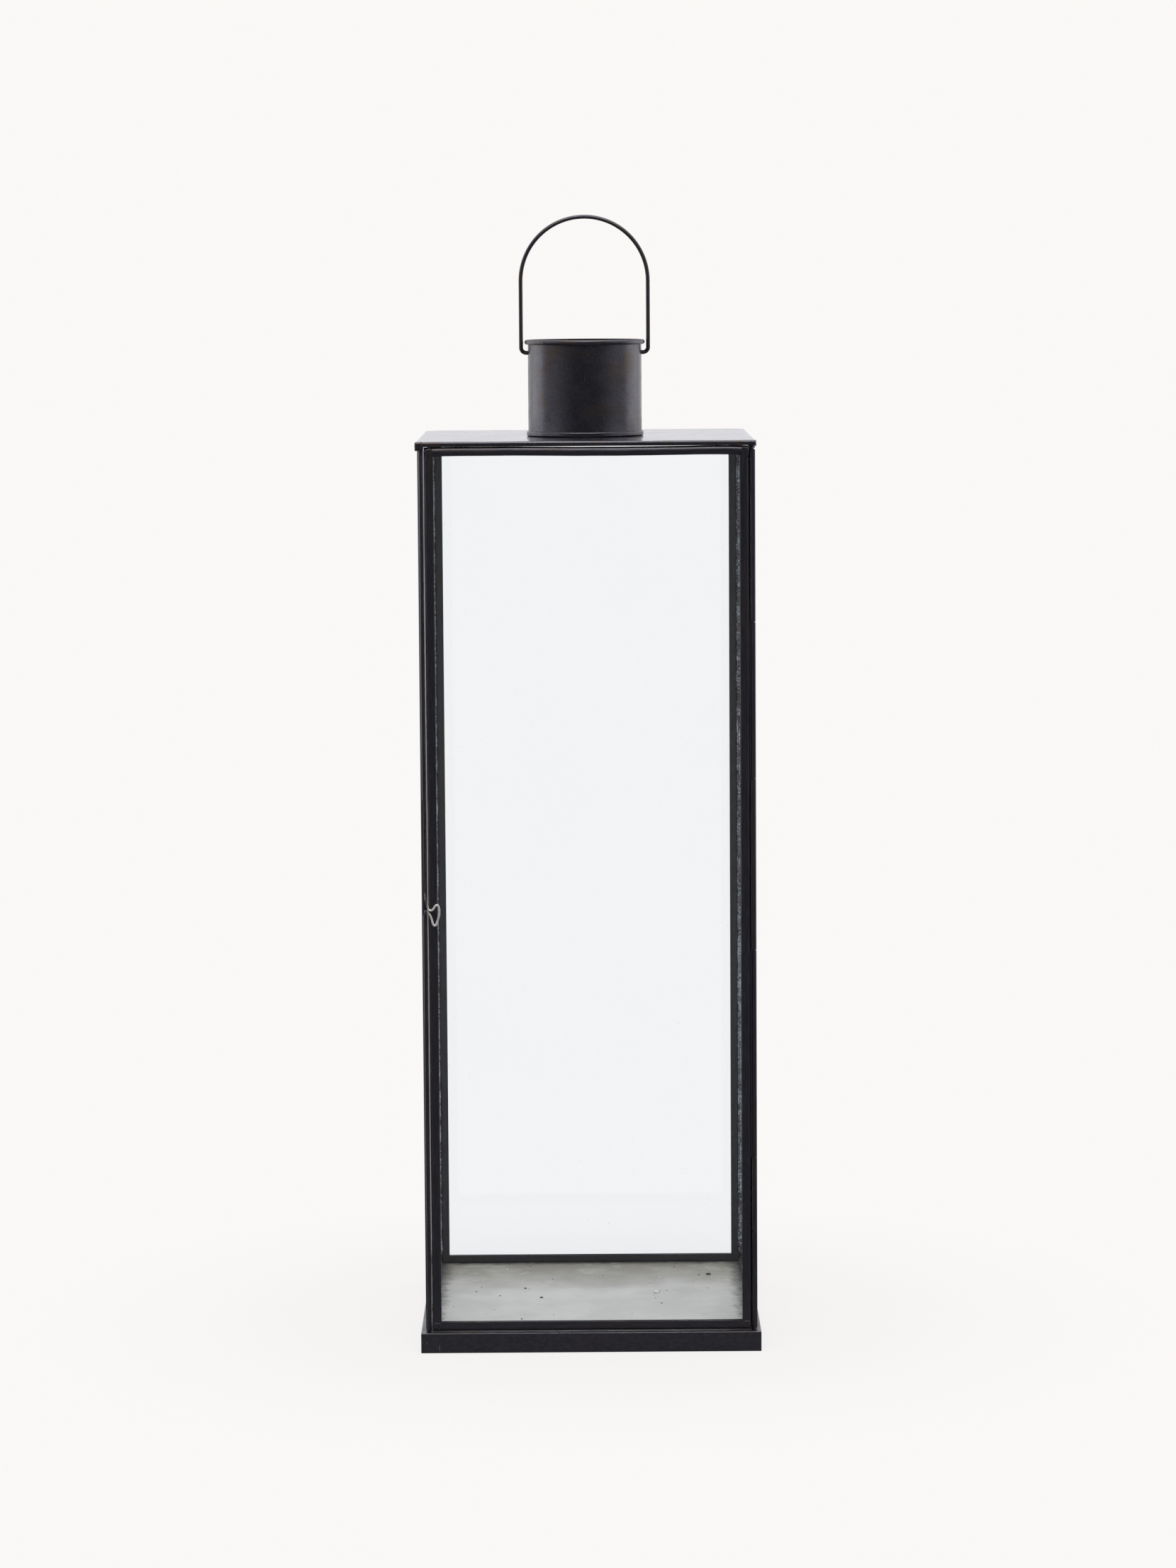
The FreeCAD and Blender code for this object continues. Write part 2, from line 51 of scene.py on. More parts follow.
class Graph:
    """A material's node tree, built by calls. A value is a number, a tuple or another node's socket."""

    def __init__(self, name, owner=None):
        self.owner = owner or bpy.data.materials.new(name)
        self.owner.use_nodes = True
        self.tree = self.owner.node_tree
        self.tree.nodes.clear()
        place = "Generated" if isinstance(owner, bpy.types.World) else "Object"
        self.place = self.add("ShaderNodeTexCoord").outputs[place]

    def add(self, kind, inputs=(), **settings):
        node = self.tree.nodes.new(kind)
        for key, value in settings.items():
            setattr(node, key, value)
        for key, value in dict(inputs).items():
            self.feed(node.inputs[key], value)
        return node

    def feed(self, socket, value):
        if isinstance(value, bpy.types.NodeSocket):
            self.tree.links.new(value, socket)
        elif isinstance(value, tuple) and len(value) == 3 and socket.type == "RGBA":
            socket.default_value = (*value, 1)
        else:
            socket.default_value = value

    def math(self, operation, a, b=0.0, clamp=False):
        return self.add("ShaderNodeMath", {0: a, 1: b}, operation=operation, use_clamp=clamp).outputs[0]

    def times(self, a, b, clamp=False):
        return self.math("MULTIPLY", a, b, clamp)

    def plus(self, a, b, clamp=False):
        return self.math("ADD", a, b, clamp)

    def larger(self, a, b):
        return self.math("MAXIMUM", a, b)

    def stretch(self, scale, offset=(0, 0, 0)):
        inputs = {"Vector": self.place, "Scale": scale, "Location": offset}
        return self.add("ShaderNodeMapping", inputs).outputs[0]

    def noise(self, size, detail=4.0, roughness=0.55, along=(1, 1, 1), offset=(0, 0, 0), warp=0.0):
        """Noise with features about size millimetres across, longer where along is under 1."""
        inputs = {"Vector": self.stretch(along, offset), "Scale": 1 / (size * MM), "Detail": detail,
                  "Roughness": roughness, "Distortion": warp}
        return self.add("ShaderNodeTexNoise", inputs).outputs["Fac"]

    def ramp(self, value, low, high, bottom=0.0, top=1.0):
        """Maps low..high to bottom..top with soft ends."""
        inputs = {"Value": value, "From Min": low, "From Max": high, "To Min": bottom, "To Max": top}
        return self.add("ShaderNodeMapRange", inputs, interpolation_type="SMOOTHSTEP").outputs["Result"]

    def mix(self, factor, a, b):
        node = self.add("ShaderNodeMix", data_type="RGBA")
        for slot, value in ((0, factor), (6, a), (7, b)):
            self.feed(node.inputs[slot], value)
        return node.outputs[2]

    def bump(self, height, depth, normal=None):
        """A bump whose height of 1 stands depth millimetres."""
        inputs = {"Height": height, "Distance": depth * MM, "Strength": 1.0}
        if normal is not None:
            inputs["Normal"] = normal
        return self.add("ShaderNodeBump", inputs).outputs[0]

    def edges(self, width):
        """1 on the mesh's edges, fading over about width millimetres."""
        bevel = self.add("ShaderNodeBevel", {"Radius": width * MM}, samples=6).outputs[0]
        normal = self.add("ShaderNodeNewGeometry").outputs["Normal"]
        dot = self.add("ShaderNodeVectorMath", {0: bevel, 1: normal}, operation="DOT_PRODUCT")
        return self.ramp(dot.outputs["Value"], 0.995, 0.82)

    def axis(self, letter):
        return self.add("ShaderNodeSeparateXYZ", {0: self.place}).outputs[letter]

    def surface(self, shader):
        self.add("ShaderNodeOutputMaterial", {"Surface": shader})
        return self.owner


# ---- Finishes --------------------------------------------------------------------------------
# Noise, bump and edge sizes are in millimetres. Places along an axis are in metres, as in the frame.

GUNMETAL_DARK = (0.074, 0.073, 0.086)
GUNMETAL_PALE = (0.1, 0.099, 0.115)
WAX_BROWN = (0.085, 0.06, 0.043)
BARE_SPECK = (0.2, 0.21, 0.23)
BARE_EDGE = (0.3, 0.285, 0.27)
BARE_SCRATCH = (0.42, 0.42, 0.44)
# How far dull darkens every colour. On the rear parts this darkening is painted shade.
DULL_DARKENING = 0.86


def dark_metal(name, grain, dull=0.0, stain=None, scuff=None, wax=0.0):
    """Sheet steel chemically darkened and waxed: blue-black gunmetal, brown where the wax is thick.

    grain is how far features stretch along each axis, and dull how much darker, rougher and less metallic the
    surface is; on the rear parts the darkening is painted shade. stain and scuff take the graph and give
    where extra brown, or pale scratches, lie. wax is the polish on top faces.
    """
    g = Graph(name)
    # Colours darkened by dull: painted shade on the rear parts.
    dark, pale, brown = (tuple(v * (1 - DULL_DARKENING * dull) for v in colour)
                         for colour in (GUNMETAL_DARK, GUNMETAL_PALE, WAX_BROWN))
    cloud = g.noise(24, 5, 0.6, grain)
    fine = g.noise(1.2, 3, 0.6, grain)
    streak = g.noise(4, 4, 0.7, tuple(v * 0.4 for v in grain), offset=(0.3, 0.1, 0.2))
    patina = g.ramp(g.plus(cloud, g.times(streak, 0.4)), 0.66, 1.0)
    if stain:
        patina = g.larger(patina, stain(g))
    colour = g.mix(g.times(patina, 0.78, True), g.mix(g.ramp(fine, 0.35, 0.75), dark, pale), brown)
    grit = g.noise(0.6, 2, 0.5, offset=(1.1, 0, 0))
    speck = g.times(g.ramp(grit, 0.73 - 0.11 * dull, 0.8 - 0.06 * dull), 0.45)
    colour = g.mix(speck, colour, BARE_SPECK)
    rub = g.times(g.edges(0.4), g.ramp(g.noise(8, 4, 0.65, grain, (0, 2, 0)), 0.45, 0.7))
    colour = g.mix(g.times(rub, 0.35), colour, BARE_EDGE)
    rough = g.ramp(streak, 0.3, 0.75, 0.2 + 0.16 * dull, 0.32 + 0.16 * dull)
    rough = g.plus(rough, g.times(fine, 0.07))
    if scuff:
        mark = scuff(g)
        colour = g.mix(mark, colour, BARE_SCRATCH)
        rough = g.plus(rough, g.times(mark, 0.3))
    dents = g.bump(g.noise(18, 2, 0.5, grain, (0, 0, 3)), 0.22)
    normal = g.bump(g.plus(fine, g.times(streak, 0.6)), 0.012, dents)
    metallic = g.math("SUBTRACT", 0.94 - 0.5 * dull, g.times(g.larger(patina, speck), 0.12))
    facing = g.add("ShaderNodeNewGeometry").outputs["Normal"]
    upward = g.add("ShaderNodeSeparateXYZ", {0: facing}).outputs["Z"]
    shader = g.add("ShaderNodeBsdfPrincipled", {
        "Base Color": colour, "Metallic": metallic, "Roughness": rough, "Specular IOR Level": 0.3,
        "Normal": normal, "Coat Weight": g.ramp(upward, 0.5, 0.95, 0.0, wax) if wax else 0.0,
        "Coat Roughness": 0.06})
    return g.surface(shader.outputs[0])


def waxed(along):
    """Brown wax in long drifts that run the way a bar does."""
    return lambda g: g.times(g.ramp(g.noise(6, 4, 0.6, along, (0, 0, 2)), 0.42, 0.8), 0.9)


def chimney_stain(g):
    """Brown smoke marks, mostly round the top of the tube."""
    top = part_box("chimney")[1][2]
    height = g.ramp(g.axis("Z"), top - 0.039, top - 0.001)
    patch = g.ramp(g.noise(17, 4, 0.6, offset=(0, 5, 0)), 0.42, 0.66)
    return g.times(patch, g.plus(g.times(height, 0.85), 0.1))


def rubbed(g):
    """Faint pale rubs in a few patches."""
    patch = g.ramp(g.noise(15, 3, 0.5, offset=(0, 0, 7)), 0.6, 0.72)
    return g.times(patch, g.ramp(g.noise(0.9, 3, 0.7, (1, 1, 0.2), (3, 0, 0)), 0.52, 0.8, 0, 0.45))


def scratched_end(g):
    """Fine scratches, thick at the plinth's left end and rare elsewhere."""
    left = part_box("base_plinth")[0][0]
    end = g.ramp(g.axis("X"), left + 0.018, left + 0.008, 0.12, 1.0)
    lines = g.ramp(g.noise(0.7, 3, 0.6, (1, 1, 0.12), (6, 0, 0), 0.6), 0.58, 0.7)
    field = g.ramp(g.noise(5, 3, 0.6, offset=(0, 0, 9)), 0.45, 0.62)
    return g.times(g.times(lines, field), g.times(end, 0.6))


def zinc_sheet():
    """The floor: dull grey sheet, warmer and darker at the back, with water marks, grit and sooty edges."""
    g = Graph("floor_metal")
    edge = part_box("floor_plate")[1][0]
    cloud = g.noise(34, 4, 0.5)
    blotch = g.noise(11, 4, 0.6, offset=(0, 1, 0))
    colour = g.mix(g.ramp(cloud, 0.35, 0.7), (0.71, 0.695, 0.665), (0.62, 0.61, 0.575))
    back = g.ramp(g.plus(g.axis("Y"), g.times(cloud, 0.05)), edge - 0.0735, edge + 0.0115)
    colour = g.mix(back, colour, (0.27, 0.252, 0.205))
    warm = g.times(g.ramp(g.noise(30, 3, 0.5, offset=(5, 0, 0)), 0.5, 0.7), 0.35)
    colour = g.mix(warm, colour, (0.56, 0.54, 0.47))
    mark = g.times(g.ramp(blotch, 0.58, 0.66), g.ramp(blotch, 0.76, 0.68))
    colour = g.mix(g.times(mark, 0.22), colour, (0.78, 0.78, 0.77))
    grit = g.ramp(g.noise(1.0, 2, 0.5, offset=(2, 0, 0)), 0.73, 0.79)
    colour = g.mix(g.times(grit, 0.6), colour, (0.16, 0.15, 0.14))
    rim = g.larger(g.math("ABSOLUTE", g.axis("X")), g.math("SUBTRACT", g.axis("Y"), 0.001))
    soot = g.ramp(g.plus(rim, g.times(g.noise(6, 4, 0.6), 0.014)), edge - 0.0025, edge + 0.0075)
    colour = g.mix(g.times(soot, 0.9), colour, (0.03, 0.03, 0.034))
    normal = g.bump(g.noise(40, 2, 0.5, offset=(0, 0, 4)), 0.3)
    normal = g.bump(g.noise(0.8, 2, 0.5), 0.008, normal)
    shader = g.add("ShaderNodeBsdfPrincipled", {
        "Base Color": colour, "Metallic": 0.15, "Roughness": g.ramp(blotch, 0.3, 0.7, 0.42, 0.55),
        "Normal": normal})
    return g.surface(shader.outputs[0])


def clear_glass():
    """Float glass, faintly cool and a little dusty. Light passes it without a dark shadow."""
    g = Graph("clear_glass")
    glass = g.add("ShaderNodeBsdfGlass", {
        "Color": (0.984, 0.991, 1.0), "Roughness": 0.0, "IOR": 1.25,
        "Normal": g.bump(g.noise(70, 1, 0.5), 0.05)}).outputs[0]
    clear = g.add("ShaderNodeBsdfTransparent", {"Color": (0.93, 0.945, 0.955)}).outputs[0]
    path = g.add("ShaderNodeLightPath").outputs
    passing = g.larger(path["Is Shadow Ray"], path["Is Diffuse Ray"])
    shader = g.add("ShaderNodeMixShader", {0: passing, 1: glass, 2: clear}).outputs[0]
    dust = g.add("ShaderNodeBsdfDiffuse", {"Color": (0.55, 0.56, 0.57)}).outputs[0]
    film = g.ramp(g.noise(60, 4, 0.6, offset=(0, 3, 0)), 0.4, 0.75, 0.0, 0.002)
    speck = g.ramp(g.noise(0.9, 1, 0.4, offset=(4, 0, 0)), 0.8, 0.83, 0.0, 0.35)
    shader = g.add("ShaderNodeMixShader", {0: g.plus(film, speck, True), 1: shader, 2: dust}).outputs[0]
    return g.surface(shader)


def latch_metal():
    """Drawn wire: blackened along its axis, rubbed bright on the loop that fingers turn."""
    g = Graph("latch_metal")
    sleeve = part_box("latch_sleeve")
    off_axis = g.math("SUBTRACT", g.axis("X"), (sleeve[0][0] + sleeve[1][0]) / 2)
    bare = g.ramp(g.plus(off_axis, g.times(g.noise(1.5), 0.0008)), 0.0012, 0.003)
    stain = g.ramp(g.noise(1.1, 3, 0.6, offset=(0, 1, 0)), 0.4, 0.75)
    steel = g.mix(stain, (0.82, 0.8, 0.78), (0.5, 0.42, 0.38))
    colour = g.mix(bare, (0.012, 0.0115, 0.012), steel)
    shader = g.add("ShaderNodeBsdfPrincipled", {
        "Base Color": colour, "Metallic": g.times(bare, 0.6), "Roughness": g.ramp(stain, 0, 1, 0.25, 0.42),
        "Normal": g.bump(g.noise(0.4, 2, 0.5), 0.01)})
    return g.surface(shader.outputs[0])


def loose_dirt(name, dark, pale, split):
    """Dust, wax crumbs or grit: two colours in specks, dull."""
    g = Graph(name)
    mottle = g.plus(g.times(g.noise(0.7, 3, 0.75), 0.75), g.times(g.noise(9, 2, 0.5), 0.3))
    speck = g.ramp(mottle, split, split + 0.1)
    shader = g.add("ShaderNodeBsdfPrincipled", {
        "Base Color": g.mix(speck, dark, pale), "Roughness": g.ramp(speck, 0, 1, 0.5, 0.85),
        "Normal": g.bump(g.noise(0.5, 3, 0.6), 0.08)})
    return g.surface(shader.outputs[0])


UPRIGHT = dark_metal("dark_metal_upright", (1, 1, 0.1), stain=waxed((1, 1, 0.06)))
ACROSS = dark_metal("dark_metal_across", (0.1, 1, 1), stain=waxed((0.06, 1, 1)))
DEEP = dark_metal("dark_metal_deep", (1, 0.1, 1), stain=waxed((1, 0.06, 1)))
# The rear stiles and rails: darker, duller copies of the same metal; their darkening is painted shade.
REAR_SHADED_UPRIGHT = dark_metal("dark_metal_shaded_upright", (1, 1, 0.15), dull=0.85)
REAR_SHADED_ACROSS = dark_metal("dark_metal_shaded_across", (0.15, 1, 1), dull=0.85)
TUBE = dark_metal("dark_metal_tube", (0.8, 0.8, 1), stain=chimney_stain, scuff=rubbed)
PLINTH = dark_metal("dark_metal_plinth", (0.4, 0.4, 1), dull=0.15, scuff=scratched_end)
ROOF = dark_metal("dark_metal_roof", (0.8, 0.8, 1), scuff=rubbed, wax=0.66)
DUST = loose_dirt("seam_dust", (0.03, 0.036, 0.045), (0.8, 0.87, 0.95), 0.5)
PALE = loose_dirt("crumb_pale", (0.8, 0.79, 0.76), (0.95, 0.945, 0.92), 0.4)
GRIT = loose_dirt("crumb_dark", (0.03, 0.028, 0.026), (0.16, 0.15, 0.13), 0.5)
GLASS = clear_glass()
ZINC = zinc_sheet()
LATCH = latch_metal()


def finish_for(node):
    """The finish of a CAD node, from its name."""
    if node.endswith("glass"):
        return GLASS
    if node == "floor_plate":
        return ZINC
    if node == "latch_hook":
        return LATCH
    if node.startswith("rear"):
        return REAR_SHADED_ACROSS if node.endswith("rail") else REAR_SHADED_UPRIGHT
    if node.endswith("rail"):
        return ACROSS if node.startswith("door") else DEEP
    return {"base_plinth": PLINTH, "roof_cap": ROOF, "chimney": TUBE, "bail_handle": TUBE}.get(node, UPRIGHT)


for label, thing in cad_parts.items():
    thing.data.materials.clear()
    thing.data.materials.append(finish_for(label))


# ---- Tools for the pieces beyond the CAD -------------------------------------------------------

def piece(name, verts, faces, material, body):
    """A smooth-shaded mesh in millimetres that rides a body."""
    mesh = bpy.data.meshes.new(name)
    mesh.from_pydata([Vector(v) * MM for v in verts], [], faces)
    shape = bmesh.new()
    shape.from_mesh(mesh)
    bmesh.ops.recalc_face_normals(shape, faces=shape.faces)
    shape.to_mesh(mesh)
    shape.free()
    mesh.shade_smooth()
    thing = bpy.data.objects.new(name, mesh)
    bpy.context.scene.collection.objects.link(thing)
    mesh.materials.append(material)
    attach(thing, body)
    return thing


def rows_to_faces(rows, around, capped=False):
    """Quads between rows of points, each row closed on itself."""
    faces = []
    for r in range(rows - 1):
        for i in range(around):
            j = (i + 1) % around
            faces.append((r * around + i, r * around + j, (r + 1) * around + j, (r + 1) * around + i))
    if capped:
        faces += [tuple(range(around)), tuple((rows - 1) * around + i for i in range(around))]
    return faces


def wobble(size, *where, seed=0.0):
    """Smooth noise from about -1 to 1, with features about size millimetres across."""
    x, y, z = (*where, 0.0, 0.0)[:3]
    return noise.noise(Vector((x / size + seed * 7.3, y / size - seed * 3.1, z / size + seed)))


def box_mm(node):
    """A CAD node's low and high corners, in millimetres."""
    return [[value / MM for value in corner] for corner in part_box(node)]


def bead(name, start, end, size, towards, seed, fill=0.5):
    """A ragged bead in an inside corner: its two legs lie along towards, its size comes and goes."""
    start, end = Vector(start), Vector(end)
    legs = [Vector(leg) for leg in towards]
    spacing = 1.1
    steps = int((end - start).length / spacing)
    verts = []
    for i in range(steps + 1):
        centre = start.lerp(end, i / steps)
        run = i * spacing
        grow = 0.35 + fill + 0.5 * wobble(9, run, seed=seed) + 0.55 * wobble(1.9, run, 4, seed=seed)
        grow = size * min(1.35, max(0.12, grow))
        bulge = 0.42 + 0.12 * wobble(1.4, i, 9, seed=seed)
        verts += [centre - (legs[0] + legs[1]) * 0.05, centre + legs[0] * grow,
                  centre + (legs[0] + legs[1]) * grow * bulge, centre + legs[1] * grow]
    return piece(name, verts, rows_to_faces(steps + 1, 4, True), DUST, "lantern")


def lump(name, centre, size, out, material, seed, body, height, ragged):
    """A low soldered or folded patch on an upright face: size wide and tall, height proud of it along out."""
    centre, out = Vector(centre), Vector(out)
    along = Vector((0, 0, 1))
    across = along.cross(out)
    around, rings, verts = 28, 7, []
    for r in range(rings + 1):
        reach = r / rings
        for i in range(around):
            turn = 2 * math.pi * i / around
            c, s = math.cos(turn), math.sin(turn)
            edge = (abs(c) ** 4 + abs(s) ** 4) ** -0.25 * (1 + ragged * wobble(0.7, c, s, seed=seed))
            uneven = 1 + 0.3 * wobble(0.8, reach * c, reach * s, seed=seed + 2)
            rise = height * (1 - reach ** 5) * uneven - 0.05
            flat = across * c * size[0] / 2 + along * s * size[1] / 2
            verts.append(centre + flat * edge * reach + out * rise)
    faces = rows_to_faces(rings + 1, around)
    faces.append(tuple(rings * around + i for i in range(around)))
    return piece(name, verts, faces, material, body)


# ---- Roof ------------------------------------------------------------------------------------

ROOF_BEND = 1.1
ROOF_CORNER = 1.7
ROOF_SHEET = 0.55
FRONT_LIP = 2.68
HINGE_LIP = 2.72
FLUE_LAP = 3.2
TUBE_LEDGE = 36


def roof_outline(x0, y0, x1, y1):
    """Points round the roof's flat top: each with its outward direction and how near it is to a corner."""
    spacing, crease = 2.4, 9
    corners = []
    for cx, cy, first in ((x1, y1, 0), (x0, y1, 90), (x0, y0, 180), (x1, y0, 270)):
        inset = ROOF_BEND + ROOF_CORNER
        middle = Vector((cx - math.copysign(inset, cx), cy - math.copysign(inset, cy), 0))
        for k in range(7):
            turn = math.radians(first + 15 * k)
            normal = Vector((math.cos(turn), math.sin(turn), 0))
            corners.append((middle + normal * ROOF_CORNER, normal, 1.0))
    outline = []
    for here, after in zip(corners, corners[1:] + corners[:1]):
        outline.append(here)
        gap = (after[0] - here[0]).length
        if gap > 20:
            count = round(gap / spacing)
            for k in range(1, count):
                near = min(k, count - k) * gap / count
                outline.append((here[0].lerp(after[0], k / count), here[1], max(0.0, 1 - near / crease)))
    return outline


def beaten_roof():
    """The roof as hand-folded sheet: edges that wander, an uneven top and creased corners.

    Its lips are short in front, where the door swings under them, and full at the sides and the back.
    """
    (x0, y0, low), (x1, y1, top) = box_mm("roof_cap")
    hole = box_mm("chimney")[1][0] - FLUE_LAP
    outline = roof_outline(x0, y0, x1, y1)
    verts = []
    rings = 15
    for k in range(rings):
        share = (k / (rings - 1)) ** 1.2
        for point, _, _ in outline:
            spot = (point.normalized() * hole).lerp(point, share)
            clear = min(1.0, max(0.0, (spot.length - TUBE_LEDGE) / 14))
            rise = 0.16 + 0.22 * wobble(45, spot.x, spot.y) + 0.1 * wobble(14, spot.x, spot.y, 5)
            verts.append((spot.x, spot.y, top + rise * clear))
    lip = ((25, 0), (50, 0), (75, 0), (90, 0), (90, 0.5), (90, 1.0))
    for turn, drop in lip:
        angle = math.radians(turn)
        for point, normal, fold in outline:
            wander = 0.12 + 0.14 * wobble(30, point.x, point.y, 8)
            wander += fold * (0.25 + 0.3 * wobble(3, point.x, point.y, 3))
            out = (ROOF_BEND + wander) * math.sin(angle)
            foot = low
            if normal.y < -0.75:
                foot = top - FRONT_LIP + 0.05 * wobble(30, point.x, 0, 6)
            elif point.y < -80 and normal.x > 0.3:
                foot = top - HINGE_LIP
            edge = top + 0.15 - ROOF_BEND * (1 - math.cos(angle))
            verts.append((point.x + normal.x * out, point.y + normal.y * out, edge + (foot - edge) * drop))
    faces = rows_to_faces(rings + len(lip), len(outline))
    roof = piece("roof_sheet", verts, faces, ROOF, "lantern")
    thick = roof.modifiers.new("sheet", "SOLIDIFY")
    thick.thickness, thick.offset = ROOF_SHEET * MM, -1
    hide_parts("roof_cap")


def roof_folds():
    """The lips' spare metal, folded over at the front corners."""
    (x0, y0, low), (x1, _, top) = box_mm("roof_cap")
    front, left, right = (0, -1, 0), (-1, 0, 0), (1, 0, 0)
    folds = (("left", (x0 + 2.1, y0 + 0.1, low + 2.6), (4.6, 5.2), front, 3, 0.75),
             ("left_side", (x0 + 0.1, y0 + 2.2, low + 2.5), (5.0, 5.0), left, 5, 0.6),
             ("right", (x1 - 1.6, y0 + 0.1, top - 1.5), (3.6, 2.6), front, 8, 0.8),
             ("right_side", (x1 - 0.1, y0 + 3.2, low + 3.2), (4.2, 4.0), right, 9, 0.6))
    for tag, centre, size, out, seed, height in folds:
        lump(f"roof_fold_{tag}", centre, size, out, ROOF, seed, "lantern", height, 0.3)


# ---- Door ------------------------------------------------------------------------------------

def door_header():
    """The door's top channel as rolled sheet: its top is arched, and a little low along its middle."""
    (x0, y0, z0), (x1, y1, z1) = box_mm("door_top_rail")
    sheet, deep, tall = 0.6, 1.75, 3.3
    rise, lowest, spread = 0.42, 14, 52
    steps = 90

    def section(inset):
        """An arched top on two straight legs: the outside for no inset, or the inside."""
        turns = [math.radians(t) for t in range(0, 91, 9)]
        front = [(y0 + deep - (deep - inset) * math.cos(t), z1 - tall + (tall - inset) * math.sin(t))
                 for t in turns]
        back = [(y0 + y1 - y, z) for y, z in reversed(front)]
        return [(y0 + inset, z0)] + front + back + [(y1 - inset, z0)]

    profile = section(0) + section(sheet)[::-1]
    verts = []
    for i in range(steps + 1):
        share = i / steps
        middle = x0 + (x1 - x0) * share
        lift = rise * min(1, ((middle - lowest) / spread) ** 2) * (1 - abs(2 * share - 1) ** 16)
        lift += 0.06 * wobble(14, middle, 2)
        for y, z in profile:
            mitre = z1 - z
            x = x0 + mitre + (x1 - x0 - 2 * mitre) * share
            verts.append((x, y + 0.12 * wobble(26, middle, 7), z + lift))
    header = piece("door_header", verts, rows_to_faces(steps + 1, len(profile), True), ACROSS, "door")
    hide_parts("door_top_rail")


def door_corners():
    """Solder and folded ends where the door's bars meet."""
    (x0, y0, z0), (x1, _, z1) = box_mm("door_latch_stile")[0], box_mm("door_hinge_stile")[1]
    spots = (("tl", x0 + 2.9, z1 - 2.7, 4.6, 4.4), ("tr", x1 - 2.3, z1 - 3.6, 4.2, 6.6),
             ("bl", x0 + 2.7, z0 + 2.6, 4.8, 4.2), ("br", x1 - 2.7, z0 + 2.7, 4.8, 4.4))
    for seed, (tag, x, z, wide, tall) in enumerate(spots):
        centre = (x, y0 + 0.05, z)
        lump(f"door_solder_{tag}", centre, (wide, tall), (0, -1, 0), UPRIGHT, seed, "door", 0.32, 0.18)


# ---- Dirt and seams --------------------------------------------------------------------------

def seam_beads():
    """Solder and old dust in the inside corners, where the panels meet and the side panes enter the posts."""
    margin = 6
    low, high = box_mm("rear_left_stile")[0][2] + margin, box_mm("rear_left_stile")[1][2] - margin
    inside = box_mm("rear_right_stile")[1][0]
    face = box_mm("rear_right_stile")[0][1]
    pane = box_mm("right_glass")[0][0]
    post = box_mm("right_rear_stile")[0][1]
    for seed, (side, sign) in enumerate((("left", -1), ("right", 1))):
        x = sign * inside
        legs = ((-sign, 0, 0), (0, -1, 0))
        bead(f"{side}_corner_seam", (x, face, low), (x, face, high), 0.75, legs, seed)
        x = sign * pane
        legs = ((-sign * 0.9, 0, 0), (0, -1.3, 0))
        bead(f"{side}_pane_dust", (x, post, low), (x, post, high), 0.6, legs, seed + 5, 0.35)


def crumbs():
    """Bits of wax, solder and grit on the floor sheet: a few large ones, then scattered small ones."""
    (x0, y0, _), (x1, y1, top) = box_mm("floor_plate")
    margin = 8
    spread = random.Random(23)
    bits = [(40, 4, 1.5, PALE), (43, 46, 0.6, PALE), (34, 30, 0.5, PALE), (73, 55, 1.2, GRIT),
            (-40, 18, 0.7, GRIT), (-30, -8, 0.8, GRIT), (-58, -40, 0.6, PALE)]
    for _ in range(34):
        x, y = spread.uniform(x0 + margin, x1 - margin), spread.uniform(y0 + margin, y1 - margin)
        bits.append((x, y, spread.uniform(0.25, 0.55), spread.choice((PALE, GRIT, GRIT))))
    ball = bmesh.new()
    bmesh.ops.create_icosphere(ball, subdivisions=2, radius=1)
    points = [v.co.copy() for v in ball.verts]
    faces = [tuple(v.index for v in f.verts) for f in ball.faces]
    ball.free()
    for i, (x, y, size, material) in enumerate(bits):
        verts = []
        for p in points:
            push = 1 + 0.5 * wobble(0.9, *p, seed=i)
            verts.append((x + p.x * size * push * 1.25, y + p.y * size * push,
                          top + size * (0.42 + p.z * 0.5 * push)))
        piece(f"crumb_{i:02d}", verts, faces, material, "lantern")


def chimney_lap():
    """The tube's lapped and soldered seam, at its back."""
    (_, _, low), (outer, _, high) = box_mm("chimney")
    radius = outer - 2.0
    rows, across, wide = 40, 8, 6.5
    verts = []
    for r in range(rows + 1):
        z = low + 3.2 + (high - low - 6.6) * r / rows
        for k in range(across + 1):
            share = k / across
            turn = math.radians(90 + (share - 0.5) * wide + 0.5 * wobble(6, z, k))
            rise = 0.5 * math.sin(math.pi * share) ** 0.5 * (1 + 0.2 * wobble(4, z, k, 2)) - 0.05
            verts.append(((radius + rise) * math.cos(turn), (radius + rise) * math.sin(turn), z))
        verts.append((0, radius * 0.996, z))
    piece("chimney_lap", verts, rows_to_faces(rows + 1, across + 2, True), TUBE, "lantern")


beaten_roof()
roof_folds()
door_header()
door_corners()
seam_beads()
crumbs()
chimney_lap()


# ---- Studio ----------------------------------------------------------------------------------

BACKGROUND = (0.956, 0.942, 0.926)
FRONT_GLOOM = (0.13, 0.13, 0.155)
CAMERA_PLACE = (-0.00325, -2.799, 0.6329)
CAMERA_YAW, CAMERA_PITCH, CAMERA_ROLL = 0.073, 6.28, -0.38


